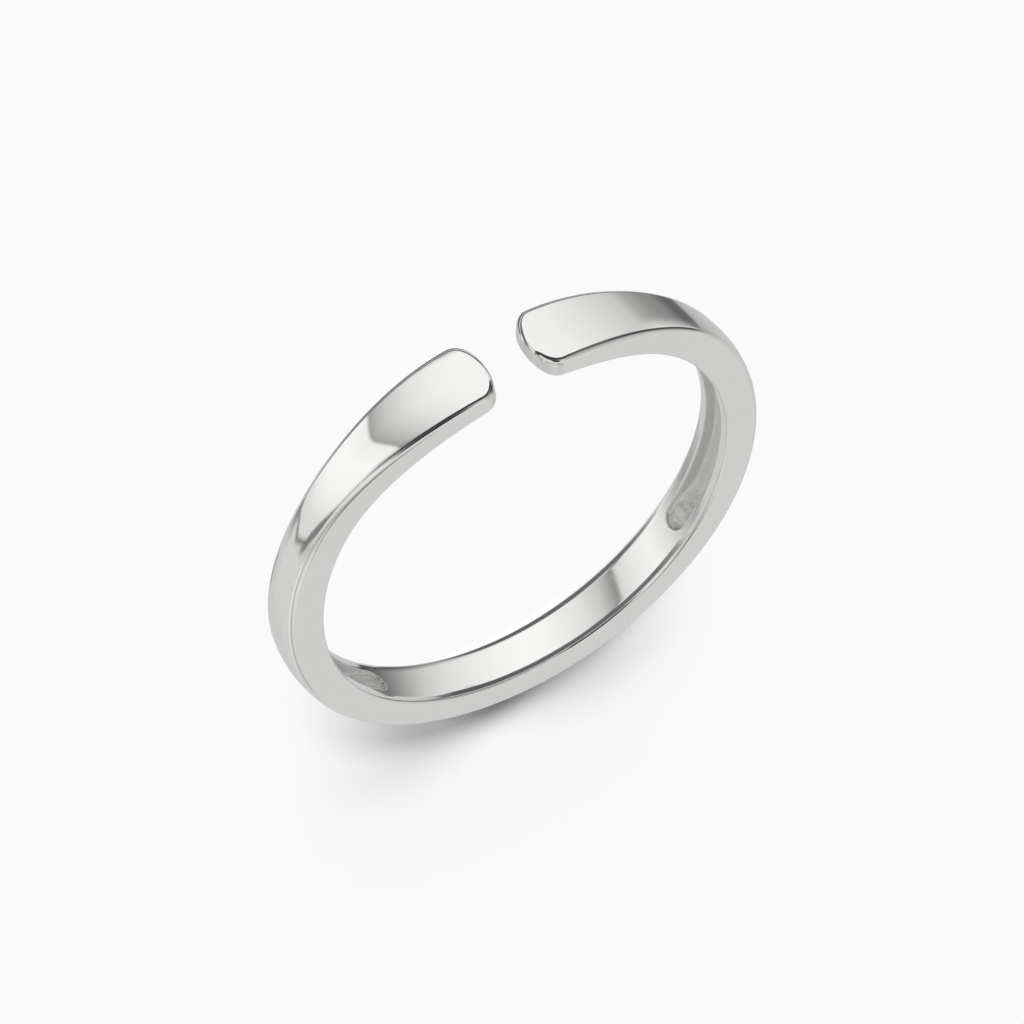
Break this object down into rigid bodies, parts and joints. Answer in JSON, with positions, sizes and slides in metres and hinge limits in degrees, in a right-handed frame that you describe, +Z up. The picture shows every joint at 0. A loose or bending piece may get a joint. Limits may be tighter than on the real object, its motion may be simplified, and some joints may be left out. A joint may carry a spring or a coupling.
{
  "type": "open cuff ring",
  "caption": "Open cuff finger ring: a polished silver band that flares into flat, round-ended paddles either side of a gap.",
  "frame": {"origin": "on the surface that the ring lies on, under the middle of its box", "axes": "+Z up along the axis of the finger hole, +Y towards the middle of the back, -Y towards the gap between the tips, +X across"},
  "size_m": [0.02, 0.019, 0.0028],
  "materials": {
    "silver": "polished silver, mirror bright outside and on the finger wall, finely brushed on the flat sides, as-cast in the relief channels"
  },
  "bodies": {
    "root": {"ring_band": "silver"}
  },
  "joints": []
}
